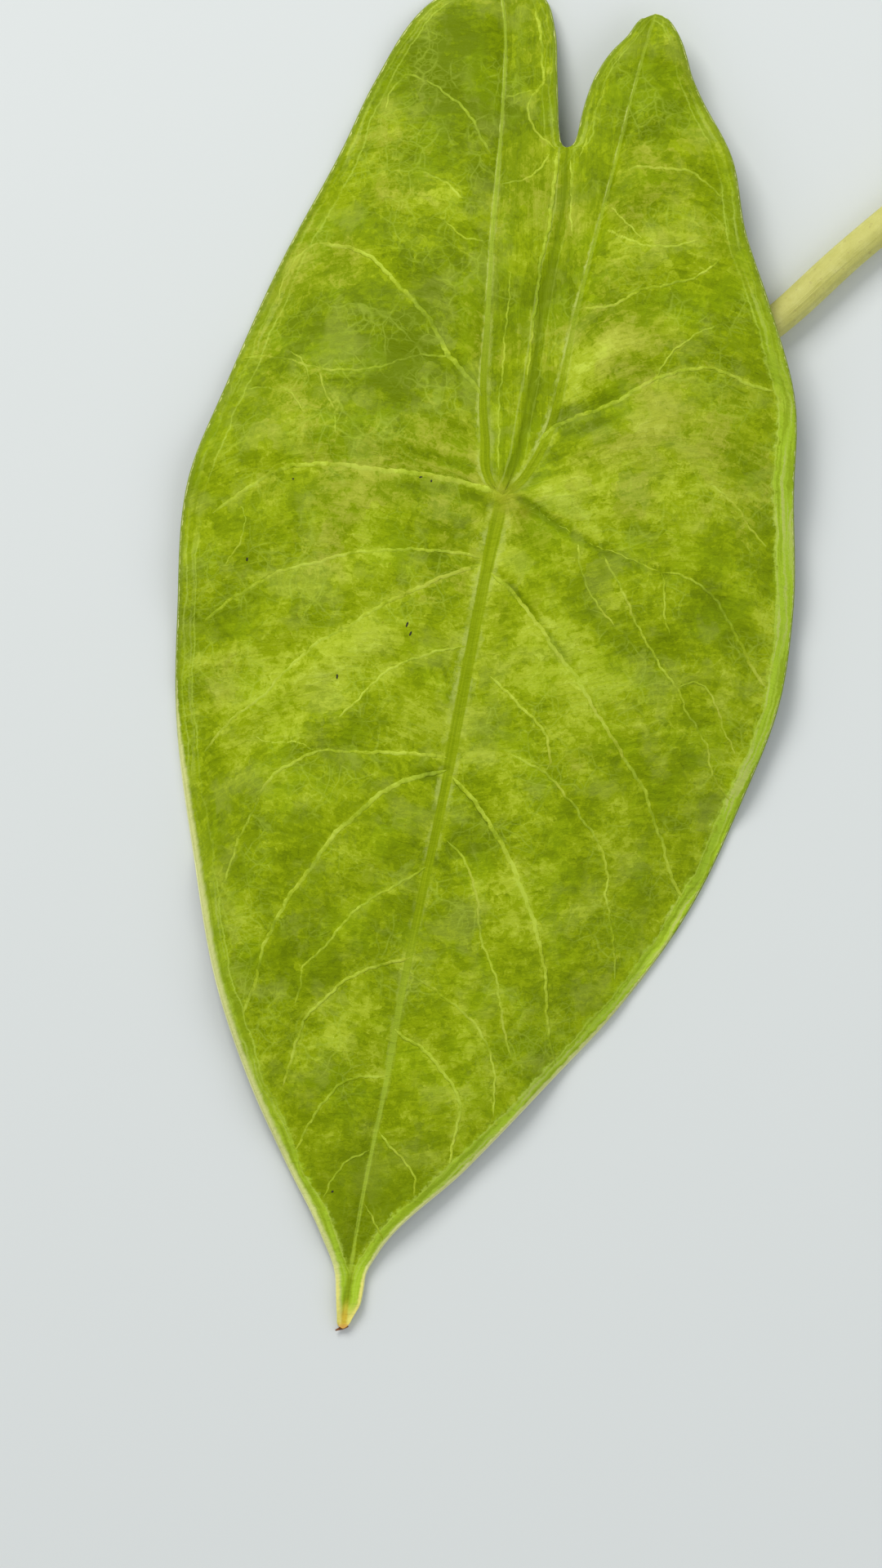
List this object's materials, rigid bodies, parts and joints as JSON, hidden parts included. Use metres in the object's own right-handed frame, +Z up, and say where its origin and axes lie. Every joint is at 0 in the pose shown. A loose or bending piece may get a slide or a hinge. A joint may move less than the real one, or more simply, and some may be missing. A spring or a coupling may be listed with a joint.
{
  "type": "variegated alocasia leaf",
  "caption": "Cut arrowhead-shaped alocasia leaf with mottled yellow-green blade, ribs, drip tip and pale stalk, laid face up.",
  "frame": {"origin": "on the surface that the leaf lies on, below the middle of the part's bounding box", "axes": "+Z up from the surface and out of the leaf's upper face, +Y towards the two back lobes, -Y towards the drip tip, +X to the side where the stalk comes out"},
  "size_m": [0.1957, 0.2664, 0.015],
  "materials": {
    "leaf_green": "smooth waxy leaf skin, satin, bright yellow-green with darker green and paler lime clouds, pale ribs and a thin cream margin",
    "stalk_green": "smooth satin leaf stalk, pale yellow-green with faint lengthwise streaks and small tan specks"
  },
  "bodies": {
    "root": {"leaf_blade": "leaf_green", "petiole": "stalk_green"}
  },
  "joints": []
}
